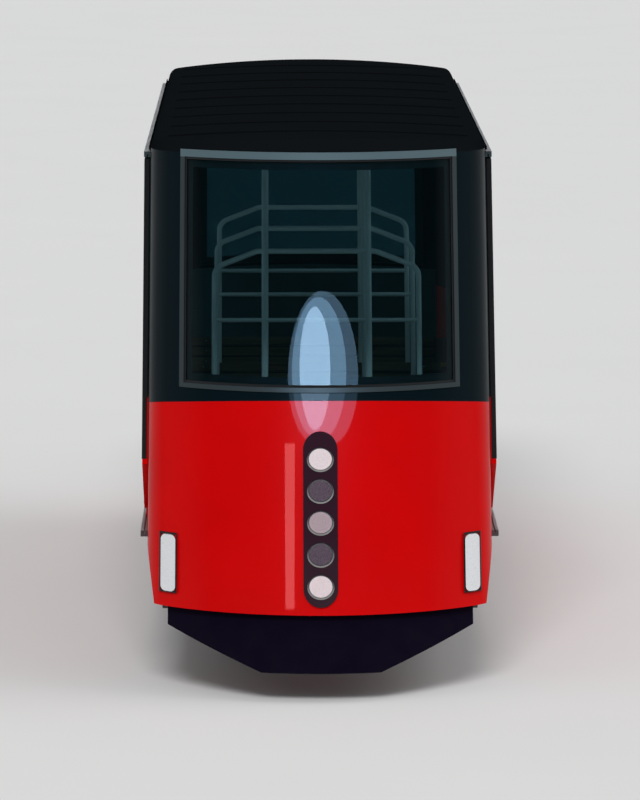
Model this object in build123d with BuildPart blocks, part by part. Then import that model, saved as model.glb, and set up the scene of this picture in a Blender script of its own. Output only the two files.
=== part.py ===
from build123d import *
from math import atan, cos, degrees, radians, sin, sqrt, tan
import os

# Funicular car. X runs across the car, Y runs up the slope along the rails,
# Z stands square on the rails. What is upright in the world leans uphill in Z.
# Sizes in millimetres.

# Slope of the track
SLOPE_PER_CENT = 60.0

# Body: widths and heights over the plane of the rails
BODY_WIDTH = 2120.0
BODY_LENGTH = 7000.0
NOSE_BULGE = 450.0
NOSE_CORNER_RADIUS = 300.0
WALL = 40.0
SKIRT_HEIGHT = 500.0
TUCK_HEIGHT = 800.0
TUCK_DEPTH = 45.0
WAIST_HEIGHT = 1650.0
WAIST_RISE = 70.0
ROOF_HEIGHT = 3250.0
ROOF_CROWN = 40.0
ROOF_CORNER_RADIUS = 60.0
EAVES_HEIGHT = ROOF_HEIGHT - ROOF_CROWN - ROOF_CORNER_RADIUS
END_JOINT_DEPTH = 150.0
ROOF_RIB_WIDTH = 60.0
ROOF_RIB_HEIGHT = 8.0
ROOF_RIB_MARGIN = 110.0
RIBS_PER_COMPARTMENT = 2

# Compartments, counted uphill
COMPARTMENT_COUNT = 4
FRONT_MARGIN = 150.0
REAR_MARGIN = 250.0
COMPARTMENT_PITCH = (BODY_LENGTH - FRONT_MARGIN - REAR_MARGIN) / COMPARTMENT_COUNT
FLOOR_LOW = 600.0
FLOOR_PLATE = 45.0

# Doors and side windows, measured along the rails from the compartment's lower edge
DOOR_START = 130.0
DOOR_OPENING = 745.0
DOOR_OVERLAP = 35.0
DOOR_LEAF = 35.0
DOOR_GAP = 6.0
DOOR_DROP = 25.0
DOOR_HEADER = 95.0
DOOR_HEAD = EAVES_HEIGHT - DOOR_HEADER
LEAF_COVER = 30.0
LEAF_HEAD = DOOR_HEAD + LEAF_COVER
LEAF_FRAME = 70.0
DOOR_POST = 100.0
WINDOW_POST = 90.0
WINDOW_START = DOOR_START + DOOR_OPENING + DOOR_POST
WINDOW_LENGTH = COMPARTMENT_PITCH - WINDOW_POST - WINDOW_START
WINDOW_RISE = 90.0
WINDOW_SILL = WAIST_HEIGHT + WINDOW_RISE
WINDOW_HEADER = 120.0
WINDOW_HEAD = EAVES_HEIGHT - WINDOW_HEADER
GLASS = 10.0
GLASS_INSET = 8.0
GUIDE_DEPTH = 46.0
GUIDE_HEIGHT = 34.0
GUIDE_LOW = 845.0
GUIDE_LEAD = 20.0
GUIDE_RUN_OUT = 60.0
GUIDE_GAP = 2.0
TONGUE = 8.0
TONGUE_LENGTH = 18.0
TONGUE_GAP = 0.3
SHOE_WIDTH = 90.0
SILL_PLATE = 12.0

# Front and rear glazing and lamps
SCREEN_WIDTH = 1680.0
SCREEN_SILL = 70.0
SCREEN_HEADER = 25.0
SCREEN_HEAD = EAVES_HEIGHT - SCREEN_HEADER
SCREEN_TRIM = 28.0
HEADER_TRIM = 45.0
TRIM_DEPTH = 5.0
STRIP_WIDTH = 210.0
STRIP_LOW = 545.0
STRIP_HIGH = 1540.0
STRIP_DEPTH = 8.0
LENS_RADIUS = 70.0
LENS_DEPTH = 16.0
LENS_HEIGHTS = (655.0, 835.0, 1015.0, 1195.0, 1375.0)
MARKER_WIDTH = 90.0
MARKER_HEIGHT = 320.0
MARKER_LOW = 590.0
MARKER_PLACE = 930.0
MARKER_DEPTH = 24.0
LENS_GAP = 0.5
LENS_SEAT = 0.3

# Running gear
GAUGE = 1000.0
TREAD_RADIUS = 210.0
TREAD_WIDTH = 90.0
FLANGE_DEPTH = 26.0
FLANGE_WIDTH = 30.0
FLANGE_PLAY = 5.0
AXLE_RADIUS = 55.0
JOURNAL_RADIUS = 45.0
JOURNAL_GAP = 0.1
HUB_RADIUS = 85.0
WHEELBASE = 4200.0
WHEEL_SIDE_GAP = 16.0
SILL_WIDTH = 84.0
SILL_LOW = 400.0
SILL_HIGH = 530.0
STRINGER = 16.0
CROSS_BEAM = 90.0
CROSS_BEAM_LOW = 440.0
BEAM_OFFSETS = (-2610.0, -1560.0, -530.0, 500.0, 1540.0, 2690.0)
HUB_GAP = 6.0
AXLE_END_GAP = 6.0
RIM = 34.0
WEB = 26.0
WEB_HOLE_RADIUS = 24.0
WEB_HOLE_COUNT = 6
BOX_RADIUS = 85.0
BOX_TOP_LENGTH = 320.0
COVER_RADIUS = 68.0
COVER = 12.0
BRAKE_BEAMS = (1, 4)
BRAKE_LENGTH = 200.0
BRAKE_BODY_LOW = 64.0
BRAKE_BODY_HIGH = 170.0
RAIL_HEAD_WIDTH = 65.0
JAW = 22.0
JAW_GAP = 8.0
JAW_LOW = 5.0
HANGER = 16.0
HANGER_SPREAD = 30.0
HANGER_TOP = 140.0
HANGER_FOOT = 96.0
BRAKE_CYLINDER_RADIUS = 38.0
BRAKE_CYLINDER_LENGTH = 170.0
BRAKE_CYLINDER_HEIGHT = 225.0
EQUIPMENT_WIDTH = 680.0
EQUIPMENT_LOW = 190.0
APRON = 12.0
APRON_GAP = 0.3
APRON_LOW = 170.0
APRON_KNEE = 390.0
APRON_HIGH = 560.0
APRON_TOP_HALF = 930.0
APRON_FOOT_HALF = 360.0
ROPE_NOTCH = 240.0

# Rope clevis and towing eye
EAR = 25.0
EAR_GAP = 60.0
PIN_RADIUS = 25.0
PIN_PLACE = 140.0
PIN_HEIGHT = 330.0
EAR_LOW = 275.0
CLEVIS_PLATE = 15.0
CLEVIS_WIDTH = 260.0
CLEVIS_LENGTH = 200.0
EAR_END = 190.0
EYE_PLATE = 30.0
EYE_RADIUS = 22.0

# Benches and grab rails, in the level and upright directions from the foot of a riser
BENCH_PLACES = (-780.0, 0.0, 780.0)
BENCH_PLATE = 16.0
SEAT_HEIGHT = 420.0
SEAT_DEPTH = 420.0
BACK_HEIGHT = 830.0
BACK_DEPTH = 34.0
SLAT_LENGTH = 1800.0
SLAT_WIDTH = 66.0
SLAT_PITCH = 82.0
SLAT = 22.0
SLAT_EDGE = 5.0
SEAT_SLATS = 4
BACK_SLATS = 4
POST_RADIUS = 21.0
HOOP_RADIUS = 18.0
CROSS_RAIL_RADIUS = 14.0
POST_GAP = 0.3
RAIL_SETBACK = 60.0
RAIL_TOP = 1250.0
RAIL_SHOULDER = 1130.0
RAIL_MIDDLE = 750.0
RAIL_POST = 340.0
RAIL_CORNER = 390.0
RAIL_SIDE = 670.0
RAIL_BEND = 90.0

# Work out the shared places
SLOPE = degrees(atan(SLOPE_PER_CENT / 100))
COS = cos(radians(SLOPE))
SIN = sin(radians(SLOPE))
TAN = SLOPE_PER_CENT / 100
HALF_WIDTH = BODY_WIDTH / 2
INNER_HALF = HALF_WIDTH - WALL
BODY_MIDDLE = (ROOF_HEIGHT + APRON_LOW + (WALL + APRON_GAP) / SIN) / 2
FLOOR_DROP = COMPARTMENT_PITCH * SIN * COS
FLOOR_HIGH = FLOOR_LOW + FLOOR_DROP
FIRST_EDGE = -BODY_LENGTH / 2 + FRONT_MARGIN
HALF_LEVEL = BODY_LENGTH / 2 * COS
SCREEN_FOOT = WAIST_HEIGHT + WAIST_RISE + SCREEN_SILL
NOSE_RADIUS = (HALF_WIDTH ** 2 + NOSE_BULGE ** 2) / (2 * NOSE_BULGE)
WHEEL_RADIUS = TREAD_RADIUS + FLANGE_DEPTH
AXLE_CENTRE = (CROSS_BEAM_LOW - BODY_MIDDLE) * TAN
BEAM_PLACES = [AXLE_CENTRE + beam_offset for beam_offset in BEAM_OFFSETS]
AXLE_PLACES = {"lower": AXLE_CENTRE - WHEELBASE / 2, "upper": AXLE_CENTRE + WHEELBASE / 2}
SIDES = {"left": -1, "right": 1}
FAR = 9000.0
CUT_OVER = 1.0

UPRIGHT = Vector(0, SIN, COS)
LEVEL = Vector(0, COS, -SIN)
LEVEL_PLANE = Plane(origin=(0, 0, BODY_MIDDLE), x_dir=(1, 0, 0), z_dir=UPRIGHT)


def lean(place, height):
    """Side-view point at a height on the upright line through a place at mid height."""
    return (place + (height - BODY_MIDDLE) * TAN, height)


def floor_height(offset):
    """Height over the rails of a compartment's floor, an offset uphill of its lower edge."""
    return FLOOR_HIGH - SIN * COS * offset


def upright_plane(level, across=0.0):
    """Plane square to the level direction, at a level distance from the body's middle."""
    return Plane(origin=LEVEL_PLANE.from_local_coords((across, level, 0)), x_dir=(1, 0, 0), z_dir=-LEVEL)


def envelope(inset, bottom):
    """Solid of the body's outer form, moved in by an inset, from a bottom height up."""
    half = HALF_WIDTH - inset
    tip = HALF_LEVEL + NOSE_BULGE - inset
    corner = tip - NOSE_RADIUS + inset + sqrt((NOSE_RADIUS - inset) ** 2 - half ** 2)
    top = ROOF_HEIGHT - inset
    foot = half - (TUCK_HEIGHT - bottom) * TUCK_DEPTH / (TUCK_HEIGHT - SKIRT_HEIGHT)
    with BuildPart() as hull:
        with BuildSketch(LEVEL_PLANE) as plan:
            with BuildLine():
                Line((half, -corner), (half, corner))
                ThreePointArc((half, corner), (0, tip), (-half, corner))
                Line((-half, corner), (-half, -corner))
                ThreePointArc((-half, -corner), (0, -tip), (half, -corner))
            make_face()
            fillet(plan.vertices(), NOSE_CORNER_RADIUS - inset)
        extrude(amount=FAR / 2, both=True)
        with BuildSketch(Plane.XZ) as section:
            with BuildLine():
                Polyline((-half, top - ROOF_CROWN), (-half, TUCK_HEIGHT), (-foot, bottom),
                         (foot, bottom), (half, TUCK_HEIGHT), (half, top - ROOF_CROWN))
                ThreePointArc((half, top - ROOF_CROWN), (0, top), (-half, top - ROOF_CROWN))
            make_face()
            fillet(section.vertices().group_by(Axis.Y)[-1], ROOF_CORNER_RADIUS - inset)
        extrude(amount=FAR, both=True, mode=Mode.INTERSECT)
    return hull.part


def side_panel(corners, low_x, high_x):
    """Plate with the given side-view corners, between two places across the car."""
    with BuildPart() as plate:
        with BuildSketch(Plane.YZ.offset(low_x)):
            Polygon(*corners, align=None)
        extrude(amount=high_x - low_x)
    return plate.part


def slanted(start, length, low, high):
    """Side-view corners of a panel with upright ends and level-with-the-rails edges."""
    return [lean(start, low), lean(start + length, low), lean(start + length, high), lean(start, high)]


def save(part, name):
    part.label = name
    export_step(part, f"parts/{name}.step")


os.makedirs("parts", exist_ok=True)

# Body shell, then its panels
outer = envelope(0, SKIRT_HEIGHT)
inner = envelope(WALL, APRON_LOW)
shell = outer - inner
END_JOINT = HALF_LEVEL - END_JOINT_DEPTH
ENDS = {"nose": -1, "tail": 1}
ROOM_EDGES = [FIRST_EDGE + index * COMPARTMENT_PITCH for index in range(COMPARTMENT_COUNT + 1)]


def door_corners(edge, margin, drop, head):
    """Side-view corners of a door: upright sides, a truly level foot and a head along the rails."""
    start = DOOR_START - margin
    stop = DOOR_START + DOOR_OPENING + margin
    return [lean(edge + start, floor_height(start) - drop), lean(edge + stop, floor_height(stop) - drop),
            lean(edge + stop, head), lean(edge + start, head)]


for end, sign in ENDS.items():
    waist = Plane(origin=(0, sign * (BODY_LENGTH / 2) + (WAIST_HEIGHT - BODY_MIDDLE) * TAN, WAIST_HEIGHT),
                  x_dir=(1, 0, 0), z_dir=(0, -sign * WAIST_RISE * COS / NOSE_BULGE, 1))
    with BuildPart() as lower:
        add(shell)
        split(bisect_by=upright_plane(sign * END_JOINT), keep=Keep.TOP if sign < 0 else Keep.BOTTOM)
        split(bisect_by=waist, keep=Keep.BOTTOM)
    save(lower.part, f"{end}_lower")

    with BuildPart() as frame:
        add(shell)
        split(bisect_by=upright_plane(sign * END_JOINT), keep=Keep.TOP if sign < 0 else Keep.BOTTOM)
        split(bisect_by=waist, keep=Keep.TOP)
        split(bisect_by=Plane.XY.offset(EAVES_HEIGHT), keep=Keep.BOTTOM)
        with BuildSketch(Plane.XZ) as opening:
            with Locations((0, (SCREEN_HEAD + SCREEN_FOOT) / 2)):
                Rectangle(SCREEN_WIDTH, SCREEN_HEAD - SCREEN_FOOT)
        extrude(amount=-sign * FAR, mode=Mode.SUBTRACT)
    save(frame.part, f"{end}_frame")

    with BuildPart() as screen:
        add(envelope(GLASS_INSET, SKIRT_HEIGHT))
        add(envelope(GLASS_INSET + GLASS, SKIRT_HEIGHT), mode=Mode.SUBTRACT)
        with BuildSketch(Plane.XZ) as pane:
            with Locations((0, (SCREEN_HEAD + SCREEN_FOOT) / 2)):
                Rectangle(SCREEN_WIDTH, SCREEN_HEAD - SCREEN_FOOT)
        extrude(amount=-sign * FAR, mode=Mode.INTERSECT)
    save(screen.part, f"{end}_glass")

# Screen trim: a raised ring around each end window, deeper along the header over the roof joint
with BuildPart() as trim:
    add(envelope(-TRIM_DEPTH, SKIRT_HEIGHT))
    add(outer, mode=Mode.SUBTRACT)
    with BuildSketch(Plane.XZ):
        with Locations((0, (SCREEN_HEAD + HEADER_TRIM + SCREEN_FOOT - SCREEN_TRIM) / 2)):
            Rectangle(SCREEN_WIDTH + 2 * SCREEN_TRIM, SCREEN_HEAD + HEADER_TRIM - SCREEN_FOOT + SCREEN_TRIM)
        with Locations((0, (SCREEN_HEAD + SCREEN_FOOT) / 2)):
            Rectangle(SCREEN_WIDTH, SCREEN_HEAD - SCREEN_FOOT, mode=Mode.SUBTRACT)
    extrude(amount=FAR, both=True, mode=Mode.INTERSECT)
save(trim.part, "screen_trim")

# Roof, with raised cross ribs that run upright down its leaning section
rib_pitch = COMPARTMENT_PITCH / RIBS_PER_COMPARTMENT
rib_half = HALF_WIDTH - ROOF_RIB_MARGIN
with BuildPart() as ribs:
    add(envelope(-ROOF_RIB_HEIGHT, SKIRT_HEIGHT))
    add(inner, mode=Mode.SUBTRACT)
    with BuildSketch(Plane.XY):
        for index in range(RIBS_PER_COMPARTMENT * COMPARTMENT_COUNT + 1):
            with Locations((0, lean(FIRST_EDGE + index * rib_pitch, ROOF_HEIGHT)[0])):
                Rectangle(2 * rib_half, ROOF_RIB_WIDTH)
    extrude(amount=FAR, mode=Mode.INTERSECT)
    split(bisect_by=Plane.XY.offset(EAVES_HEIGHT), keep=Keep.TOP)
with BuildPart() as roof:
    add(shell)
    split(bisect_by=Plane.XY.offset(EAVES_HEIGHT), keep=Keep.TOP)
    add(ribs.part)
save(roof.part, "roof")

window_boxes = []
door_boxes = []
for edge in ROOM_EDGES[:-1]:
    window_boxes.append(slanted(edge + WINDOW_START, WINDOW_LENGTH, WINDOW_SILL, WINDOW_HEAD))
    door_boxes.append(door_corners(edge, 0, 0, DOOR_HEAD))

# Side walls, with panels that meet at the door posts, over the doors and under them
for side, sign in SIDES.items():
    with BuildPart() as wall:
        add(shell)
        split(bisect_by=Plane.XY.offset(EAVES_HEIGHT), keep=Keep.BOTTOM)
        split(bisect_by=upright_plane(-END_JOINT), keep=Keep.BOTTOM)
        split(bisect_by=upright_plane(END_JOINT), keep=Keep.TOP)
        split(bisect_by=Plane.YZ, keep=Keep.TOP if sign > 0 else Keep.BOTTOM)
        for corners in window_boxes + door_boxes:
            add(side_panel(corners, -FAR / 2, FAR / 2), mode=Mode.SUBTRACT)
        for edge in ROOM_EDGES[:-1]:
            for jamb in (DOOR_START, DOOR_START + DOOR_OPENING):
                split(bisect_by=upright_plane((edge + jamb) * COS), keep=Keep.BOTH)
    save(wall.part, f"wall_{side}")

with BuildPart() as side_glass:
    for sign in SIDES.values():
        for corners in window_boxes:
            glass_out = HALF_WIDTH - GLASS_INSET
            glass_x = sorted((sign * glass_out, sign * (glass_out - GLASS)))
            add(side_panel(corners, *glass_x))
save(side_glass.part, "side_glass")

# Stepped floor: level treads and upright risers folded from one plate
fold = (LEVEL - UPRIGHT) * FLOOR_PLATE
tread_line = [lean(ROOM_EDGES[0], FLOOR_HIGH)]
for edge in ROOM_EDGES[1:]:
    tread_line.append(lean(edge, FLOOR_LOW))
    tread_line.append(lean(edge, FLOOR_HIGH))
reach = NOSE_BULGE + FRONT_MARGIN
first = tread_line[0]
last = tread_line[-1]
top_line = [(first[0] - reach * 2 * COS, first[1] + reach * 2 * SIN)] + tread_line[1:]
top_line.append((last[0] + reach * 2 * COS, last[1] - reach * 2 * SIN))
under_line = [(y + fold.Y, z + fold.Z) for y, z in top_line]
with BuildPart() as floor:
    with BuildSketch(Plane.YZ):
        Polygon(*top_line, *reversed(under_line), align=None)
    extrude(amount=INNER_HALF, both=True)
    add(inner, mode=Mode.INTERSECT)
save(floor.part, "floor")

# Door guides along the wall, grooved for the leaves' tongues
GUIDE_START = ROOM_EDGES[0] + DOOR_START - DOOR_OVERLAP - GUIDE_LEAD
GUIDE_STOP = ROOM_EDGES[-1] + GUIDE_RUN_OUT
HEAD_GUIDE_LOW = LEAF_HEAD + GUIDE_GAP
leaf_inner = HALF_WIDTH + DOOR_GAP
tongue_inner = leaf_inner + (DOOR_LEAF - TONGUE) / 2
GUIDES = {
    "head": (HEAD_GUIDE_LOW, HEAD_GUIDE_LOW + GUIDE_HEIGHT),
    "foot": (GUIDE_LOW, GUIDE_LOW + GUIDE_HEIGHT),
}
with BuildPart() as guides:
    for sign in SIDES.values():
        for low, high in GUIDES.values():
            low_x, high_x = sorted((sign * HALF_WIDTH, sign * (HALF_WIDTH + GUIDE_DEPTH)))
            add(side_panel(slanted(GUIDE_START, GUIDE_STOP - GUIDE_START, low, high), low_x, high_x))
    for sign in SIDES.values():
        for name, (low, high) in GUIDES.items():
            groove_low = low - CUT_OVER if name == "head" else high - TONGUE_LENGTH
            groove_high = low + TONGUE_LENGTH if name == "head" else high + CUT_OVER
            groove_in = tongue_inner - TONGUE_GAP
            groove_x = sorted((sign * groove_in, sign * (groove_in + TONGUE + 2 * TONGUE_GAP)))
            groove = slanted(-FAR, 2 * FAR, groove_low, groove_high)
            add(side_panel(groove, *groove_x), mode=Mode.SUBTRACT)
save(guides.part, "door_guides")

# Sill plates at the level of each floor
with BuildPart() as sills:
    for sign in SIDES.values():
        for edge in ROOM_EDGES[:-1]:
            start = floor_height(DOOR_START)
            stop = floor_height(DOOR_START + DOOR_OPENING)
            corners = [lean(edge + DOOR_START, start), lean(edge + DOOR_START + DOOR_OPENING, stop),
                       lean(edge + DOOR_START + DOOR_OPENING, stop + SILL_PLATE),
                       lean(edge + DOOR_START, start + SILL_PLATE)]
            low_x, high_x = sorted((sign * INNER_HALF, sign * HALF_WIDTH))
            add(side_panel(corners, low_x, high_x))
save(sills.part, "door_sills")

# Sliding doors, two pieces each: the leaf with its tongues, and its pane
for side, sign in SIDES.items():
    for index, edge in enumerate(ROOM_EDGES[:-1]):
        inner_x = sign * leaf_inner
        outer_x = sign * (leaf_inner + DOOR_LEAF)
        low_x, high_x = sorted((inner_x, outer_x))
        leaf_start = edge + DOOR_START - DOOR_OVERLAP
        leaf_stop = edge + DOOR_START + DOOR_OPENING + DOOR_OVERLAP
        pane_length = leaf_stop - leaf_start - 2 * LEAF_FRAME
        pane = slanted(leaf_start + LEAF_FRAME, pane_length, WINDOW_SILL, WINDOW_HEAD)
        foot_high = floor_height(DOOR_START + DOOR_OPENING + DOOR_OVERLAP) - DOOR_DROP
        guide_top = GUIDE_LOW + GUIDE_HEIGHT
        tongue_x = sorted((sign * tongue_inner, sign * (tongue_inner + TONGUE)))
        head = slanted(leaf_start, leaf_stop - leaf_start, LEAF_HEAD - CUT_OVER, LEAF_HEAD + TONGUE_LENGTH)
        shoe_low = guide_top - TONGUE_LENGTH + GUIDE_GAP
        shoe = slanted(leaf_stop - SHOE_WIDTH, SHOE_WIDTH, shoe_low, foot_high + SHOE_WIDTH)
        with BuildPart() as leaf:
            add(side_panel(door_corners(edge, DOOR_OVERLAP, DOOR_DROP, LEAF_HEAD), low_x, high_x))
            add(side_panel(pane, low_x, high_x), mode=Mode.SUBTRACT)
            add(side_panel(head, *tongue_x))
            add(side_panel(shoe, *tongue_x))
        save(leaf.part, f"door_{side}_{index + 1}")
        glass_out = leaf_inner + DOOR_LEAF - GLASS_INSET
        glass_x = sorted((sign * glass_out, sign * (glass_out - GLASS)))
        with BuildPart() as leaf_glass:
            add(side_panel(pane, *glass_x))
        save(leaf_glass.part, f"door_glass_{side}_{index + 1}")

# Lamp strips on both ends: a raised plate that follows the nose, with sunk round lenses


def lens_plane(sign, height):
    """Plane facing out of the nose tip or tail tip, square to the level direction, at a height."""
    place = sign * (HALF_LEVEL + NOSE_BULGE) / COS
    return Plane(origin=(0, *lean(place, height)), x_dir=(1, 0, 0), z_dir=LEVEL * sign)


with BuildPart() as strips:
    add(envelope(-STRIP_DEPTH, SKIRT_HEIGHT))
    add(outer, mode=Mode.SUBTRACT)
    with BuildSketch(Plane.XZ):
        with Locations((0, (STRIP_LOW + STRIP_HIGH) / 2)):
            SlotOverall(STRIP_HIGH - STRIP_LOW, STRIP_WIDTH, rotation=90)
    extrude(amount=FAR, both=True, mode=Mode.INTERSECT)
    for sign in ENDS.values():
        for height in LENS_HEIGHTS:
            with BuildSketch(lens_plane(sign, height)):
                Circle(LENS_RADIUS + LENS_GAP)
            extrude(amount=STRIP_DEPTH * 3, both=True, mode=Mode.SUBTRACT)
save(strips.part, "lamp_strips")

with BuildPart() as lenses:
    for sign in ENDS.values():
        for height in LENS_HEIGHTS:
            with BuildSketch(lens_plane(sign, height).offset(LENS_SEAT)):
                Circle(LENS_RADIUS)
            extrude(amount=LENS_DEPTH)
save(lenses.part, "lamp_lenses")

# Marker lamps: upright bars on the rounded corners
with BuildPart() as markers:
    add(envelope(-MARKER_DEPTH, SKIRT_HEIGHT))
    add(outer, mode=Mode.SUBTRACT)
    with BuildSketch(Plane.XZ):
        for side in SIDES.values():
            with Locations((side * MARKER_PLACE, MARKER_LOW + MARKER_HEIGHT / 2)):
                RectangleRounded(MARKER_WIDTH, MARKER_HEIGHT, MARKER_WIDTH / 3)
    extrude(amount=FAR, both=True, mode=Mode.INTERSECT)
save(markers.part, "marker_lamps")

# Underframe: two sills along the rails, joined by cross beams and headstocks
SILL_PLACE = GAUGE / 2 + TREAD_WIDTH + WHEEL_SIDE_GAP + SILL_WIDTH / 2
FRAME_START = lean(ROOM_EDGES[0], CROSS_BEAM_LOW)[0]
FRAME_STOP = lean(BODY_LENGTH / 2 - FRONT_MARGIN, CROSS_BEAM_LOW)[0]
beam_places = [FRAME_START + CROSS_BEAM, *BEAM_PLACES, FRAME_STOP - CROSS_BEAM]
with BuildPart() as underframe:
    for sign in SIDES.values():
        with BuildSketch(Plane.XZ.offset(-FRAME_START)):
            with Locations((sign * SILL_PLACE, (SILL_LOW + SILL_HIGH) / 2)):
                Rectangle(SILL_WIDTH, SILL_HIGH - SILL_LOW)
        extrude(amount=FRAME_START - FRAME_STOP)
    for place in beam_places:
        with Locations((0, place, CROSS_BEAM_LOW + CROSS_BEAM / 2)):
            Box(2 * INNER_HALF, CROSS_BEAM, CROSS_BEAM)
    add(inner, mode=Mode.INTERSECT)
save(underframe.part, "underframe")

# Stepped stringers: plates on the sills whose upper edge follows the folded floor
stringer_line = [lean(ROOM_EDGES[0], FLOOR_HIGH - FLOOR_PLATE * COS)] + under_line[1:-1]
stringer_foot = [(stringer_line[-1][0], SILL_HIGH), lean(ROOM_EDGES[0], SILL_HIGH)]
with BuildPart() as stringers:
    for sign in SIDES.values():
        with BuildSketch(Plane.YZ.offset(sign * SILL_PLACE - STRINGER / 2)):
            Polygon(*stringer_line, *stringer_foot, align=None)
        extrude(amount=STRINGER)
save(stringers.part, "floor_stringers")

# Aprons under both ends: a curved plate that narrows to the track, notched uphill for the rope
with BuildPart() as aprons:
    add(envelope(WALL + APRON_GAP, APRON_LOW))
    add(envelope(WALL + APRON_GAP + APRON, APRON_LOW - WALL), mode=Mode.SUBTRACT)
    with BuildSketch(Plane.XZ):
        with BuildLine():
            Polyline((-APRON_TOP_HALF, APRON_HIGH), (-APRON_TOP_HALF, APRON_KNEE),
                     (-APRON_FOOT_HALF, APRON_LOW), (APRON_FOOT_HALF, APRON_LOW),
                     (APRON_TOP_HALF, APRON_KNEE), (APRON_TOP_HALF, APRON_HIGH), close=True)
        make_face()
    extrude(amount=FAR, both=True, mode=Mode.INTERSECT)
    with Locations((0, FAR / 2, 0)):
        Box(ROPE_NOTCH, FAR, 2 * SKIRT_HEIGHT, mode=Mode.SUBTRACT)
save(aprons.part, "aprons")

# Axles with their wheels
flange_out = GAUGE / 2 - FLANGE_PLAY
flange_in = flange_out - FLANGE_WIDTH
tread_in = GAUGE / 2
tread_out = GAUGE / 2 + TREAD_WIDTH
sill_in = SILL_PLACE - SILL_WIDTH / 2
sill_out = SILL_PLACE + SILL_WIDTH / 2
hub_out = sill_in - HUB_GAP
web_in = (flange_in + tread_out - WEB) / 2
web_out = web_in + WEB
rim_radius = TREAD_RADIUS - RIM
axle_end = sill_out - AXLE_END_GAP
half_profile = [
    (flange_in, AXLE_RADIUS), (flange_in, HUB_RADIUS), (web_in, HUB_RADIUS), (web_in, rim_radius),
    (flange_in, rim_radius), (flange_in, WHEEL_RADIUS), (flange_out, WHEEL_RADIUS), (tread_in, TREAD_RADIUS),
    (tread_out, TREAD_RADIUS), (tread_out, rim_radius), (web_out, rim_radius), (web_out, HUB_RADIUS),
    (hub_out, HUB_RADIUS), (hub_out, JOURNAL_RADIUS), (axle_end, JOURNAL_RADIUS), (axle_end, 0),
]
for name, place in AXLE_PLACES.items():
    with BuildPart() as axle:
        with BuildSketch(Plane(origin=(0, place, WHEEL_RADIUS))):
            Polygon(*half_profile, *[(-x, r) for x, r in reversed(half_profile)], align=None)
        revolve(axis=Axis((0, place, WHEEL_RADIUS), (1, 0, 0)))
        for sign in SIDES.values():
            with BuildSketch(Plane((sign * (web_in - WEB), place, WHEEL_RADIUS), (0, 1, 0), (sign, 0, 0))):
                with PolarLocations((HUB_RADIUS + rim_radius) / 2, WEB_HOLE_COUNT):
                    Circle(WEB_HOLE_RADIUS)
            extrude(amount=3 * WEB, mode=Mode.SUBTRACT)
    save(axle.part, f"axle_{name}")

# Axle boxes under the sills, with a closing cover over each journal
with BuildPart() as boxes:
    for place in AXLE_PLACES.values():
        for sign in SIDES.values():
            with BuildSketch(Plane.YZ.offset(sign * SILL_PLACE - SILL_WIDTH / 2)):
                with Locations((place, WHEEL_RADIUS)):
                    Circle(BOX_RADIUS)
                Polygon((place - BOX_RADIUS, WHEEL_RADIUS), (place + BOX_RADIUS, WHEEL_RADIUS),
                        (place + BOX_TOP_LENGTH / 2, SILL_LOW), (place - BOX_TOP_LENGTH / 2, SILL_LOW),
                        align=None)
            extrude(amount=SILL_WIDTH)
            with BuildSketch(Plane.YZ.offset(sign * SILL_PLACE - SILL_WIDTH / 2)):
                with Locations((place, WHEEL_RADIUS)):
                    Circle(JOURNAL_RADIUS + JOURNAL_GAP)
            extrude(amount=SILL_WIDTH, mode=Mode.SUBTRACT)
            with BuildSketch(Plane.YZ.offset(sign * sill_out - (COVER if sign < 0 else 0))):
                with Locations((place, WHEEL_RADIUS)):
                    Circle(COVER_RADIUS)
            extrude(amount=COVER)
save(boxes.part, "axle_boxes")

# Rail brakes: hangers under the cross beam, a spring cylinder, and two jaws below a housing
with BuildPart() as brakes:
    for beam in BRAKE_BEAMS:
        for sign in SIDES.values():
            middle = sign * (GAUGE / 2 + RAIL_HEAD_WIDTH / 2)
            place = BEAM_PLACES[beam]
            with Locations((middle, place, CROSS_BEAM_LOW - HANGER / 2)):
                Box(HANGER_TOP, CROSS_BEAM, HANGER)
            for hanger_side in SIDES.values():
                hanger_edge = place + hanger_side * HANGER_SPREAD + HANGER / 2
                with BuildSketch(Plane.XZ.offset(-hanger_edge)):
                    Polygon((middle - HANGER_TOP / 2, CROSS_BEAM_LOW),
                            (middle + HANGER_TOP / 2, CROSS_BEAM_LOW),
                            (middle + HANGER_FOOT / 2, BRAKE_BODY_HIGH - HANGER),
                            (middle - HANGER_FOOT / 2, BRAKE_BODY_HIGH - HANGER), align=None)
                extrude(amount=HANGER)
            with Locations((middle, place, BRAKE_CYLINDER_HEIGHT)):
                Cylinder(BRAKE_CYLINDER_RADIUS, BRAKE_CYLINDER_LENGTH, rotation=(0, 90, 0))
            with Locations((middle, place, (BRAKE_BODY_LOW + BRAKE_BODY_HIGH) / 2)):
                Box(RAIL_HEAD_WIDTH + 2 * (JAW + JAW_GAP), BRAKE_LENGTH, BRAKE_BODY_HIGH - BRAKE_BODY_LOW)
            for side in SIDES.values():
                jaw_x = middle + side * (RAIL_HEAD_WIDTH + JAW + 2 * JAW_GAP) / 2
                with Locations((jaw_x, place, (JAW_LOW + BRAKE_BODY_LOW) / 2)):
                    Box(JAW, BRAKE_LENGTH, BRAKE_BODY_LOW - JAW_LOW)
save(brakes.part, "rail_brakes")

# Equipment box: the heavy control and brake gear, hung between two cross beams
equipment_start = BEAM_PLACES[2] - CROSS_BEAM / 2
equipment_stop = BEAM_PLACES[3] + CROSS_BEAM / 2
with BuildPart() as equipment:
    with Locations((0, (equipment_start + equipment_stop) / 2, (EQUIPMENT_LOW + CROSS_BEAM_LOW) / 2)):
        Box(EQUIPMENT_WIDTH, equipment_stop - equipment_start, CROSS_BEAM_LOW - EQUIPMENT_LOW)
save(equipment.part, "equipment_box")

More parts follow.
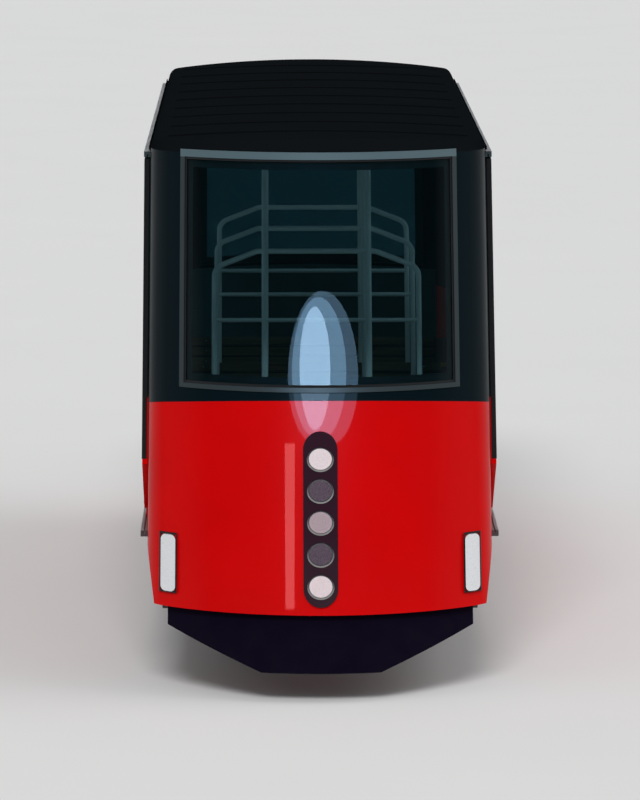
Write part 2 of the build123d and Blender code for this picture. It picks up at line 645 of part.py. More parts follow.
# Rope clevis under the uphill headstock
headstock = beam_places[-1]
ear_start = headstock - CLEVIS_LENGTH / 2
pin_place = headstock + PIN_PLACE
with BuildPart() as clevis:
    with Locations((0, headstock, CROSS_BEAM_LOW - CLEVIS_PLATE / 2)):
        Box(CLEVIS_WIDTH, CLEVIS_LENGTH, CLEVIS_PLATE)
    for sign in SIDES.values():
        with BuildSketch(Plane.YZ.offset(sign * (EAR_GAP + EAR) / 2 - EAR / 2)):
            Polygon((ear_start, CROSS_BEAM_LOW - CLEVIS_PLATE),
                    (headstock + EAR_END, CROSS_BEAM_LOW - CLEVIS_PLATE),
                    (headstock + EAR_END, EAR_LOW), (pin_place - PIN_RADIUS * 2, EAR_LOW),
                    (ear_start, CROSS_BEAM_LOW - 2 * CLEVIS_PLATE), align=None)
        extrude(amount=EAR)
    with BuildSketch(Plane.YZ.offset(-CLEVIS_WIDTH)):
        with Locations((pin_place, PIN_HEIGHT)):
            Circle(PIN_RADIUS)
    extrude(amount=2 * CLEVIS_WIDTH, mode=Mode.SUBTRACT)
save(clevis.part, "rope_clevis")

# Towing eye under the lower headstock
foot_beam = beam_places[0]
eye_place = foot_beam - PIN_PLACE
with BuildPart() as eye:
    with Locations((0, foot_beam, CROSS_BEAM_LOW - CLEVIS_PLATE / 2)):
        Box(CLEVIS_WIDTH, CLEVIS_LENGTH, CLEVIS_PLATE)
    with BuildSketch(Plane.YZ.offset(-EYE_PLATE / 2)):
        Polygon((foot_beam + CLEVIS_LENGTH / 2, CROSS_BEAM_LOW - CLEVIS_PLATE),
                (foot_beam - EAR_END, CROSS_BEAM_LOW - CLEVIS_PLATE), (foot_beam - EAR_END, EAR_LOW),
                (eye_place + EYE_RADIUS * 2, EAR_LOW),
                (foot_beam + CLEVIS_LENGTH / 2, CROSS_BEAM_LOW - 2 * CLEVIS_PLATE), align=None)
    extrude(amount=EYE_PLATE)
    with BuildSketch(Plane.YZ.offset(-EYE_PLATE)):
        with Locations((eye_place, PIN_HEIGHT)):
            Circle(EYE_RADIUS)
    extrude(amount=2 * EYE_PLATE, mode=Mode.SUBTRACT)
save(eye.part, "towing_eye")


def riser_plane(edge, across):
    """Side-view plane at the foot of the riser on an edge: level direction, then upright."""
    return Plane(origin=(across, *lean(edge, FLOOR_LOW)), x_dir=LEVEL, z_dir=(1, 0, 0))


# Benches against the risers: brackets, then wooden slats
bracket = [(0, SLAT_PITCH), (-SLAT_PITCH, SLAT_PITCH), (-SEAT_DEPTH, SEAT_HEIGHT - SLAT_PITCH / 2),
           (-SEAT_DEPTH, SEAT_HEIGHT), (-BACK_DEPTH, SEAT_HEIGHT), (-BACK_DEPTH, BACK_HEIGHT),
           (0, BACK_HEIGHT)]
with BuildPart() as benches:
    for edge in ROOM_EDGES[1:]:
        for across in BENCH_PLACES:
            with BuildSketch(riser_plane(edge, across - BENCH_PLATE / 2)):
                Polygon(*bracket, align=None)
            extrude(amount=BENCH_PLATE)
save(benches.part, "bench_brackets")

with BuildPart() as slats:
    for edge in ROOM_EDGES[1:]:
        with BuildSketch(riser_plane(edge, -SLAT_LENGTH / 2)):
            for index in range(SEAT_SLATS):
                with Locations((-SEAT_DEPTH + SLAT_WIDTH / 2 + index * SLAT_PITCH, SEAT_HEIGHT + SLAT / 2)):
                    RectangleRounded(SLAT_WIDTH, SLAT, SLAT_EDGE)
            for index in range(BACK_SLATS):
                with Locations((-BACK_DEPTH - SLAT / 2, BACK_HEIGHT - SLAT_WIDTH / 2 - index * SLAT_PITCH)):
                    RectangleRounded(SLAT, SLAT_WIDTH, SLAT_EDGE)
        extrude(amount=SLAT_LENGTH)
save(slats.part, "bench_slats")

# Grab rails above each inner riser: two posts to the roof and a hoop with drooping shoulders
roof_radius = (INNER_HALF ** 2 + ROOF_CROWN ** 2) / (2 * ROOF_CROWN)
post_edge = RAIL_POST + POST_RADIUS
post_top = ROOF_HEIGHT - WALL - roof_radius + sqrt(roof_radius ** 2 - post_edge ** 2) - POST_GAP
with BuildPart() as rails:
    for edge in ROOM_EDGES[1:-1]:
        foot = Vector(0, *lean(edge, FLOOR_HIGH)) + LEVEL * RAIL_SETBACK
        face = Plane(origin=foot, x_dir=(1, 0, 0), z_dir=-LEVEL)
        hoop = [(-RAIL_SIDE, 0), (-RAIL_SIDE, RAIL_SHOULDER), (-RAIL_CORNER, RAIL_TOP),
                (RAIL_CORNER, RAIL_TOP), (RAIL_SIDE, RAIL_SHOULDER), (RAIL_SIDE, 0)]
        with BuildLine(face):
            FilletPolyline(*hoop, radius=RAIL_BEND)
        hoop_foot = face.from_local_coords((-RAIL_SIDE, 0, 0))
        with BuildSketch(Plane(origin=hoop_foot, x_dir=(1, 0, 0), z_dir=UPRIGHT)):
            Circle(HOOP_RADIUS)
        sweep()
        with BuildSketch(Plane(origin=foot, x_dir=(1, 0, 0), z_dir=UPRIGHT)):
            with Locations((-RAIL_POST, 0), (RAIL_POST, 0)):
                Circle(POST_RADIUS)
        extrude(amount=ROOF_HEIGHT)
        cross_foot = face.from_local_coords((-RAIL_SIDE, RAIL_MIDDLE, 0))
        with BuildSketch(Plane(origin=cross_foot, x_dir=UPRIGHT, z_dir=(1, 0, 0))):
            Circle(CROSS_RAIL_RADIUS)
        extrude(amount=2 * RAIL_SIDE)
    split(bisect_by=Plane.XY.offset(post_top), keep=Keep.BOTTOM)
save(rails.part, "grab_rails")
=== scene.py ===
from math import atan, cos, pi, radians, sin, sqrt

import bmesh
import bpy
from mathutils import Matrix, Vector


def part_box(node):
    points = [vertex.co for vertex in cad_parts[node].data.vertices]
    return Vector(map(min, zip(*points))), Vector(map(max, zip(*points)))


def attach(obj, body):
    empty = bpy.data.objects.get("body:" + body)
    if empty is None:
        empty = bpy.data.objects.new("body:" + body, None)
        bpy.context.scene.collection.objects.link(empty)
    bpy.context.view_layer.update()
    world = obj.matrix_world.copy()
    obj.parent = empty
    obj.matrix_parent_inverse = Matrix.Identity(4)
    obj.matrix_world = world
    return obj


# Funicular car. X runs across the car, Y uphill along the slope, Z square to the slope. Metres.
# Heights are over the lowest points of the wheels.
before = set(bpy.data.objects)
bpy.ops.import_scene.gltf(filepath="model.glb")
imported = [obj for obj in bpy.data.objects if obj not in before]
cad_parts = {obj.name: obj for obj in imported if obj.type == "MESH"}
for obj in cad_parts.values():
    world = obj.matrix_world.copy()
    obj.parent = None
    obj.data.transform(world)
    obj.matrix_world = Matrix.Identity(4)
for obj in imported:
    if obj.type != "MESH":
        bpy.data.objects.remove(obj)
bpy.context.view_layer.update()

# The slope that the car stands on, and the directions that are upright and level in the world
TAN = 0.6
SLOPE = atan(TAN)
COS, SIN = cos(SLOPE), sin(SLOPE)
UPRIGHT = Vector((0, SIN, COS))
LEVEL = Vector((0, COS, -SIN))
SIDES = {"left": -1, "right": 1}
ENDS = {"nose": -1, "tail": 1}

# Body sizes that the dressing follows
HALF_WIDTH = 1.06
HALF_LENGTH = 3.5
WALL = 0.04
SKIRT = 0.5
TUCK = 0.8
WAIST = 1.65
EAVES = 3.15
ROOF = 3.25
APRON_LOW = 0.17
APRON_GAP = 0.0003
MIDDLE = (ROOF + APRON_LOW + (WALL + APRON_GAP) / SIN) / 2
NOSE_BULGE = 0.45
NOSE_RADIUS = (HALF_WIDTH ** 2 + NOSE_BULGE ** 2) / (2 * NOSE_BULGE)
ARC_CENTRE = HALF_LENGTH * COS + NOSE_BULGE - NOSE_RADIUS
END_JOINT_DEPTH = 0.15
END_JOINT = HALF_LENGTH * COS - END_JOINT_DEPTH

# Compartments, doors and windows, measured along the slope at mid height
COMPARTMENTS = 4
PITCH = 1.65
FRONT_MARGIN = 0.15
EDGES = [-HALF_LENGTH + FRONT_MARGIN + index * PITCH for index in range(COMPARTMENTS + 1)]
DOORS = [f"{side}_{index}" for side in SIDES for index in range(1, COMPARTMENTS + 1)]
FLOOR_LOW = 0.6
FLOOR_HIGH = FLOOR_LOW + PITCH * SIN * COS
LEAF_START, LEAF_STOP = 0.095, 0.910
LEAF_HEAD = 3.085
LEAF_FRAME = 0.07
LEAF_OUT = HALF_WIDTH + 0.041
WINDOW_START, WINDOW_STOP = 0.975, 1.560
SILL, HEAD = 1.74, 3.03

# Screens and lamps on the ends
SCREEN_HALF = 0.84
SCREEN_LOW, SCREEN_HIGH = 1.79, 3.125
LENS_HEIGHTS = (0.655, 0.835, 1.015, 1.195, 1.375)
LENS_RADIUS = 0.07
LENS_FACE = 0.016
MARKER_PLACE, MARKER_HALF = 0.93, 0.045
MARKER_LOW, MARKER_HIGH = 0.59, 0.91

# Running gear
WHEEL_RADIUS = 0.236
CROSS_BEAM_LOW = 0.44
HALF_WHEELBASE = 2.1
AXLE_MIDDLE = (CROSS_BEAM_LOW - MIDDLE) * TAN
AXLES = {"axle_lower": AXLE_MIDDLE - HALF_WHEELBASE, "axle_upper": AXLE_MIDDLE + HALF_WHEELBASE}
HUB_OUT = 0.600
SILL_OUT = 0.690
BOX_OUT = SILL_OUT + 0.012

# Frames on the screens: name, growth of the screen's sides, foot and head, width, two depths, bevel
SCREEN_RINGS = (
    ("screen_seal", 0.0, 0.0, 0.0, 0.014, -0.008, -0.001, 0.002),
    ("screen_frit", 0.02, 0.02, 0.01, 0.075, -0.021, -0.0185, 0.0),
)

# Section of the rubber around a marker lamp: margin, depth
MARKER_SECTION = ((0.010, -0.002), (0.010, 0.010), (0.0, 0.010), (0.0, -0.002))

# Rubber in the joints between the ends and the side walls
SEAM_HALF = 0.004
SEAM_DEPTH = 0.010
SEAM_PROUD = 0.0012
SEAM_RISE = 0.01

# Seals around the windows: how far they reach into and around the opening, and their depth
SEAL_IN = 0.016
SEAL_AROUND = 0.012
SEAL_DEPTH = 0.0078

# Frames on the side windows: name, material, inner and outer margin, two depths from the face, bevel
WINDOW_RINGS = (
    ("window_seals", "rubber", -SEAL_IN, SEAL_AROUND, -SEAL_DEPTH, 0.0008, 0.0),
    ("window_linings", "lining", -0.045, 0.020, -0.0402, -0.055, 0.004),
)

# Section of the drip rail: out from the wall's face, up from the eaves
DRIP_RAIL = ((-0.002, -0.018), (0.014, -0.016), (0.016, 0.002),
             (0.012, 0.002), (0.010, -0.012), (-0.002, -0.013))
DRIP_RAIL_INSET = 0.02

# Door leaves: edge rubbers, flush handle and screws
RUBBER_PROUD = 0.0028
RUBBER_WIDTH = 0.022
RUBBER_EDGE = 0.0025
RUBBER_BACK = 0.029
RUBBER_FOOT, RUBBER_HEAD = 0.005, 0.01
GRIP_BACK, GRIP_HALF = 0.062, 0.022
GRIP_LOW, GRIP_HIGH = 1.20, 1.48
GRIP_RIM = (-0.008, 0.004)
GRIP_PROUD = 0.0035
GRIP_PLATE_MARGIN, GRIP_PLATE = -0.007, 0.0012
LEAF_SCREWS = (LEAF_START + 0.05, 0.5, LEAF_STOP - 0.05)
LEAF_SCREW_HEIGHTS = (1.60, 3.055)

# Turned shapes: radius, distance along the axis
SCREW = [(0, 0), (0.008, 0), (0.007, 0.002), (0.003, 0.0028), (0, 0.0022)]
AXLE_COVER = [(0, 0), (0.032, 0), (0.032, 0.004), (0.024, 0.007), (0.012, 0.007), (0.010, 0.005), (0, 0.005)]
LENS_BEZEL = [(LENS_RADIUS + out, along) for out, along in (
    (0.0004, -0.004), (0.0004, 0.015), (0.0044, 0.0158), (0.012, 0.0095), (0.012, -0.004))]
LENS_RINGS = [[(radius + out, LENS_FACE + proud) for out, proud in (
    (0, 0), (0.004, 0), (0.003, 0.0012), (0.001, 0.0012))] for radius in (0.014, 0.030, 0.046)]

# Bolts: a washer's thickness and radius, and the crown's foot and radius, each as a share of the head's
WASHER, BRIM = 0.25, 1.35
CROWN_LOW, CROWN_IN = 0.9, 0.8

# Bolt circles: radius, turn as a share of the spacing, radius and height of the bolts
BOLTS = 6
HUB_BOLTS = (0.070, 0.5, 0.006, 0.004)
BOX_BOLTS = (0.054, 0.0, 0.007, 0.005)

# Lids of the equipment box
LIDS = 3
LID = 0.004
LID_MARGIN, LID_HEAD = 0.02, 0.03
LID_BOLT_INSET, LID_BOLT_HEAD = 0.045, 0.055
LID_BOLT = (0.006, 0.004)
LID_HANDLE_HALF, LID_HANDLE_OUT, LID_HANDLE_BEND, LID_HANDLE_RADIUS = 0.05, 0.026, 0.012, 0.005

# Bench slats and the places of the brackets that carry them
BRACKETS = (-0.78, 0.0, 0.78)
SLATS = 4
SLAT = 0.022
SLAT_PITCH = 0.082
SLAT_HALF = 0.033
SEAT_DEPTH, SEAT_TOP = 0.42, 0.442
BACK_DEPTH, BACK_TOP = 0.034, 0.830

# Section of the step nosings: level distance uphill of the lip, upright distance above it
NOSING = ((-0.003, -0.030), (-0.003, 0.003), (0.050, 0.003), (0.050, 0), (0, 0), (0, -0.030))
NOSING_GAP = 0.002

# Linings of the walls and ends, and the ceiling
LINING = 0.004
LINING_BEFORE_WINDOW = 0.085
LINING_GAP = 0.004
LINING_FOOT, LINING_HEAD = 0.002, 0.03
END_LINING_HALF = 0.93
END_LINING_HEAD = SCREEN_LOW - 0.02
END_LINING_PLACE, END_LINING_FOOT, TAIL_LINING_LOW = -0.45, 0.03, 0.75
CEILING = 3.145
CEILING_HALF, CEILING_MARGIN, CEILING_PANEL = 0.98, 0.012, 0.008
LIGHT_IN, LIGHT_OUT = 0.60, 0.70
LIGHT_START, LIGHT_STOP = 0.30, 1.35
LIGHT_DROP, LIGHT_RISE = 0.012, 0.004

# Pipes along the sills: height, radius; and their clamps
PIPES = ((0.424, 0.009), (0.410, 0.006))
PIPE_INSET = 0.35
CLAMP_START, CLAMP_STOP, CLAMP_PITCH = 0.6, 0.5, 0.45
CLAMP_WIDTH, CLAMP_DEPTH = 0.025, 0.021
CLAMP_LOW, CLAMP_HIGH = 0.402, 0.437

# Steps of curved shapes, limits of a bend, and the angles in degrees over which edges are rounded or sharp
ARC_STEPS = 16
TUBE_STEPS = 10
BEND_STEPS = 4
STRAIGHT = 1e-6
MITRE_LIMIT = 0.5
ROUND_ANGLE = 40
SHARP_ANGLE = 35

# Colours, dust and the band of the tread that running has worn
DUST = (0.16, 0.13, 0.105)
DUST_LOW, DUST_HIGH = 0.25, 0.95
RED = (0.62, 0.0004, 0.0008)
BLACK = (0.002, 0.007, 0.010)
LAMP_OFF = (0.075, 0.040, 0.068)
LENS_COLOURS = [(0.0, (0.86, 0.72, 0.75)), (0.745, LAMP_OFF), (0.925, (0.46, 0.34, 0.38)),
                (1.105, LAMP_OFF), (1.285, (0.88, 0.76, 0.79))]
MARKER_COLOUR = (0.80, 0.81, 0.83)
PRISM_EDGE = (0.3, 0.31, 0.33)
LENS_TOP = 2.0
PAINT_LINE = 0.0005
TREAD_IN, TREAD_OUT, TREAD_FADE = 0.463, 0.589, 0.005

# The phase of a wave texture grows by this times its scale for each metre
WAVE_RATE = 20

# The photograph's viewpoint: far in front of the nose, above it and a little left of its middle
CAMERA_ASIDE = -0.30
CAMERA_HEIGHT = 6.0
CAMERA_BACK = 35.0
CAMERA_LENS = 262.0
CAMERA_SENSOR = 36.0
CAMERA_CLIP = 300.0
CORNER_ASIDE = 0.9
LOOK_ASIDE = 0.0
LOOK_HEIGHT = 1.72

# Studio
FLOOR = (0.80, 0.80, 0.795)
FLOOR_HALF = 150.0
SKY = (0.80, 0.81, 0.82)
OVERHEAD = (0.02, 0.05, 0.06)
SKY_LIGHT = 0.5
LIGHTS_AT = (0.0, 0.0, 1.6)

# Suns: name, place that it shines from, strength, angle in degrees
SUNS = (("key", (-1.0, -9.0, 12.0), 1.5, 25), ("fill", (8.0, 3.0, 9.0), 0.6, 40))

# Softboxes that the nose mirrors: name, nodes, shape, place across, low, high, width, distance, power, tint
COOL = (0.36, 0.66, 1.0)
NOSE_NODES = ("nose_lower", "nose_frame", "nose_glass", "screen_trim")
HIGHLIGHTS = (
    ("screen_rim", NOSE_NODES, "ELLIPSE", 0.02, 1.40, 2.40, 0.42, 3.5, 22, COOL),
    ("screen_highlight", NOSE_NODES, "ELLIPSE", -0.005, 1.45, 2.36, 0.32, 3.5, 24, COOL),
    ("screen_core", NOSE_NODES, "ELLIPSE", -0.03, 1.51, 2.30, 0.18, 3.5, 24, (0.50, 0.74, 1.0)),
    ("panel_highlight", ("nose_lower",), "RECTANGLE", -0.186, 0.50, 1.50, 0.055, 2.5, 7, (1.0, 0.35, 0.36)),
)


def lean(place, height):
    """Side-view point at a height on the upright line through a place at mid height."""
    return place + (height - MIDDLE) * TAN, height


def floor_height(offset):
    """Height of a compartment's floor, an offset uphill of its lower edge."""
    return FLOOR_HIGH - SIN * COS * offset


def slanted(start, stop, low, high):
    """Side-view corners of a panel with upright ends, and a foot and head along the slope."""
    return [lean(start, low), lean(stop, low), lean(stop, high), lean(start, high)]


def rectangle(start, stop, low, high):
    """Side-view corners of a rectangle along the slope."""
    return [(start, low), (stop, low), (stop, high), (start, high)]


def nose_point(end, x, z, proud=0.0):
    """Point on an end of the body at a place across and a height, or proud of it."""
    level = ARC_CENTRE + sqrt((NOSE_RADIUS + proud) ** 2 - x ** 2)
    return Vector((x, ENDS[end] * level / COS + (z - MIDDLE) * TAN, z))


def riser_point(edge, across, out, up):
    """Point a level distance uphill of a riser's foot and an upright distance above it."""
    return Vector((across, *lean(edge, FLOOR_LOW))) + LEVEL * out + UPRIGHT * up


# Materials
def set_inputs(tree, node, values):
    """Set inputs of a node, or link them where the value is another node's output."""
    for socket, value in values.items():
        if isinstance(value, bpy.types.NodeSocket):
            tree.links.new(value, node.inputs[socket])
        else:
            node.inputs[socket].default_value = value


def add_node(tree, kind, values):
    node = tree.nodes.new(kind)
    set_inputs(tree, node, values)
    return node


def new_material(name):
    """Material with its node tree, its shader and the output that gives object coordinates."""
    material = bpy.data.materials.new(name)
    material.use_nodes = True
    tree = material.node_tree
    place = tree.nodes.new("ShaderNodeTexCoord").outputs["Object"]
    return material, tree, tree.nodes["Principled BSDF"], place


def noise(tree, place, scale, detail=3.0, distortion=0.0):
    values = {"Vector": place, "Scale": scale, "Detail": detail, "Distortion": distortion}
    return add_node(tree, "ShaderNodeTexNoise", values).outputs["Fac"]


def stretched(tree, place, scale):
    """Coordinates with a scale along each axis; where it is small, a pattern is drawn out."""
    return add_node(tree, "ShaderNodeMapping", {"Vector": place, "Scale": scale}).outputs["Vector"]


def coordinate(tree, place, axis):
    return add_node(tree, "ShaderNodeSeparateXYZ", {"Vector": place}).outputs[axis]


def maths(tree, operation, first, second):
    node = add_node(tree, "ShaderNodeMath", {0: first, 1: second})
    node.operation = operation
    return node.outputs["Value"]


def map_range(tree, source, start, stop, low=0.0, high=1.0):
    """Value that goes from low to high, and no further, as the source goes from start to stop."""
    values = {"Value": source, "From Min": start, "From Max": stop, "To Min": low, "To Max": high}
    return add_node(tree, "ShaderNodeMapRange", values).outputs["Result"]


def height_over(tree, place, low, high):
    """0 at one height, 1 at another, and even between them."""
    return map_range(tree, coordinate(tree, place, "Z"), low, high)


def ramp(tree, source, stops, interpolation="LINEAR"):
    """Colour that follows a source through stops of a position and a colour."""
    node = add_node(tree, "ShaderNodeValToRGB", {"Fac": source})
    node.color_ramp.interpolation = interpolation
    elements = node.color_ramp.elements
    for element, (position, colour) in zip(elements, (stops[0], stops[-1])):
        element.position = position
        element.color = (*colour, 1)
    for position, colour in stops[1:-1]:
        elements.new(position).color = (*colour, 1)
    return node.outputs["Color"]


def shade(colour, factor):
    return tuple(min(value * factor, 1.0) for value in colour)


def varied(tree, source, colour, factor, start=0.3, stop=0.7):
    """Colour, or a number for a grey, that starts as a factor of itself and gets full as the source rises."""
    full = colour if isinstance(colour, tuple) else (colour,) * 3
    return ramp(tree, source, [(start, shade(full, factor)), (stop, full)])


def blend(tree, factor, first, second):
    """Colour that goes from the first to the second input as the factor goes from 0 to 1."""
    node = tree.nodes.new("ShaderNodeMix")
    node.data_type = "RGBA"
    first, second = ((*value, 1) if isinstance(value, tuple) else value for value in (first, second))
    set_inputs(tree, node, {"Factor": factor, "A": first, "B": second})
    return node.outputs["Result"]


def relief(tree, shader, source, strength, distance):
    """Bump that follows a source, with a strength from 0 to 1 and a height in metres."""
    bump = add_node(tree, "ShaderNodeBump", {"Height": source, "Strength": strength, "Distance": distance})
    set_inputs(tree, shader, {"Normal": bump.outputs["Normal"]})


def mix_shaders(tree, factor, first, second, output):
    """Send two shaders to an output node, the first where the factor is 0 and the second where it is 1."""
    mix = add_node(tree, "ShaderNodeMixShader", {0: factor, 1: first, 2: second})
    set_inputs(tree, tree.nodes[output], {"Surface": mix.outputs["Shader"]})


def paint(name, colour, roughness, coat=0.0, specular=0.5, upper=None, change=WAIST, dust=0.25, turn=None):
    """Sprayed paint with a faint cloud, orange peel and dust low on the body.

    Upper is the colour above the height of the change: a second paint on the side walls, and a painted
    highlight along the head of the screen trim. Turn is where the gloss of the coat begins and ends to
    fade as the surface turns away, and how much of it is left.
    """
    material, tree, shader, place = new_material(name)
    cloud = noise(tree, place, 2.2)
    tone = varied(tree, cloud, colour, 0.92)
    # On the side walls the upper colour is black paint; on the screen trim it is a painted highlight along
    # the head.
    if upper:
        tone = blend(tree, height_over(tree, place, change - PAINT_LINE, change + PAINT_LINE), tone, upper)
    if dust:
        low_down = height_over(tree, place, DUST_HIGH, DUST_LOW)
        film = maths(tree, "MULTIPLY", low_down, noise(tree, place, 7.0, detail=6.0))
        tone = blend(tree, maths(tree, "MULTIPLY", film, dust), tone, DUST)
    gloss = coat
    if turn:
        start, stop, left = turn
        facing = add_node(tree, "ShaderNodeLayerWeight", {"Blend": 0.5}).outputs["Facing"]
        gloss = map_range(tree, facing, start, stop, coat, coat * left)
    set_inputs(tree, shader, {
        "Base Color": tone,
        "Roughness": varied(tree, cloud, roughness, 1.2),
        "Specular IOR Level": specular,
        "Coat Weight": gloss,
        "Coat Roughness": 0.03,
    })
    relief(tree, shader, noise(tree, place, 240.0, detail=2.0), 0.04, 0.0005)
    return material


def metal(name, colour, roughness, axis="X", brush=90.0):
    """Bare metal, brushed along one axis."""
    material, tree, shader, place = new_material(name)
    scale = tuple(0.03 if axis == letter else 1.0 for letter in "XYZ")
    grain = noise(tree, stretched(tree, place, scale), brush, detail=4.0)
    set_inputs(tree, shader, {
        "Base Color": varied(tree, grain, colour, 0.8),
        "Roughness": varied(tree, grain, roughness, 1.3),
        "Metallic": 1.0,
    })
    relief(tree, shader, grain, 0.05, 0.0004)
    return material


def glass(name, colour, through, ior=1.45):
    """Tinted safety glass with a faint cloud in its tint, which lets the lamps reach what is behind it."""
    material, tree, shader, place = new_material(name)
    tint = varied(tree, noise(tree, place, 1.2), colour, 0.9, start=0.35, stop=0.65)
    set_inputs(tree, shader, {"Base Color": tint, "Roughness": 0.0, "IOR": ior, "Transmission Weight": 1.0})
    clear = add_node(tree, "ShaderNodeBsdfTransparent", {"Color": (*through, 1)})
    path = tree.nodes.new("ShaderNodeLightPath")
    lamps = maths(tree, "MAXIMUM", path.outputs["Is Shadow Ray"], path.outputs["Is Diffuse Ray"])
    mix_shaders(tree, lamps, shader.outputs["BSDF"], clear.outputs["BSDF"], "Material Output")
    return material


def rubber(name, colour=(0.012, 0.012, 0.013), roughness=0.55):
    material, tree, shader, place = new_material(name)
    tone = varied(tree, noise(tree, place, 60.0), colour, 0.7)
    set_inputs(tree, shader, {"Base Color": tone, "Roughness": roughness})
    relief(tree, shader, noise(tree, place, 400.0), 0.08, 0.0003)
    return material


def ribbed(name, colour, roughness, axis, pitch, metallic=0.0):
    """Plate or mat with raised ribs at an even pitch along one axis."""
    material, tree, shader, place = new_material(name)
    scale = 2 * pi / (pitch * WAVE_RATE)
    wave = add_node(tree, "ShaderNodeTexWave", {"Vector": place, "Scale": scale, "Distortion": 0.0})
    wave.bands_direction = axis
    ribs = wave.outputs["Fac"]
    worn = varied(tree, noise(tree, place, 5.0, detail=5.0), colour, 0.7, start=0.35)
    # Where the ribs are low, the grooves get a darker copy of the colour: painted shade in the recesses.
    tone = blend(tree, ribs, shade(colour, 0.55), worn)
    set_inputs(tree, shader, {"Base Color": tone, "Roughness": roughness, "Metallic": metallic})
    relief(tree, shader, ribs, 0.6, 0.003)
    return material


def wood(name, light, dark):
    """Varnished slats with the grain across the car."""
    material, tree, shader, place = new_material(name)
    grain = noise(tree, stretched(tree, place, (0.06, 1.0, 1.0)), 38.0, detail=6.0, distortion=0.6)
    set_inputs(tree, shader, {
        "Base Color": ramp(tree, grain, [(0.35, dark), (0.65, light)]),
        "Roughness": 0.32,
        "Coat Weight": 0.4,
        "Coat Roughness": 0.1,
    })
    relief(tree, shader, grain, 0.15, 0.0006)
    return material


def lens_material(name, heights_and_colours):
    """Lamp lenses whose colour goes by their height on the strip, with a fine prism pattern."""
    material, tree, shader, place = new_material(name)
    share = height_over(tree, place, 0.0, LENS_TOP)
    stops = [(height / LENS_TOP, colour) for height, colour in heights_and_colours]
    prisms = add_node(tree, "ShaderNodeTexVoronoi", {"Vector": place, "Scale": 120.0}).outputs["Distance"]
    faint = map_range(tree, prisms, 0.0, 1.0, 0.0, 0.25)
    set_inputs(tree, shader, {
        "Base Color": blend(tree, faint, ramp(tree, share, stops, "CONSTANT"), PRISM_EDGE),
        "Roughness": 0.08,
        "Coat Weight": 0.6,
        "Coat Roughness": 0.02,
    })
    relief(tree, shader, prisms, 0.25, 0.001)
    return material


def wheel_steel(name):
    """Dark painted discs and a bright band that running has worn on the tread."""
    material, tree, shader, place = new_material(name)
    across = maths(tree, "ABSOLUTE", coordinate(tree, place, "X"), 0.0)
    inside = map_range(tree, across, TREAD_IN, TREAD_IN + TREAD_FADE)
    outside = map_range(tree, across, TREAD_OUT, TREAD_OUT - TREAD_FADE)
    band = maths(tree, "MULTIPLY", inside, outside)
    grime = noise(tree, place, 14.0, detail=6.0)
    dark = ramp(tree, grime, [(0.35, (0.030, 0.024, 0.020)), (0.7, (0.075, 0.060, 0.050))])
    bright = ramp(tree, grime, [(0.35, (0.34, 0.33, 0.32)), (0.7, (0.55, 0.54, 0.53))])
    set_inputs(tree, shader, {
        "Base Color": blend(tree, band, dark, bright),
        "Metallic": band,
        "Roughness": ramp(tree, grime, [(0.3, (0.55,) * 3), (0.7, (0.33,) * 3)]),
    })
    relief(tree, shader, grime, 0.15, 0.002)
    return material


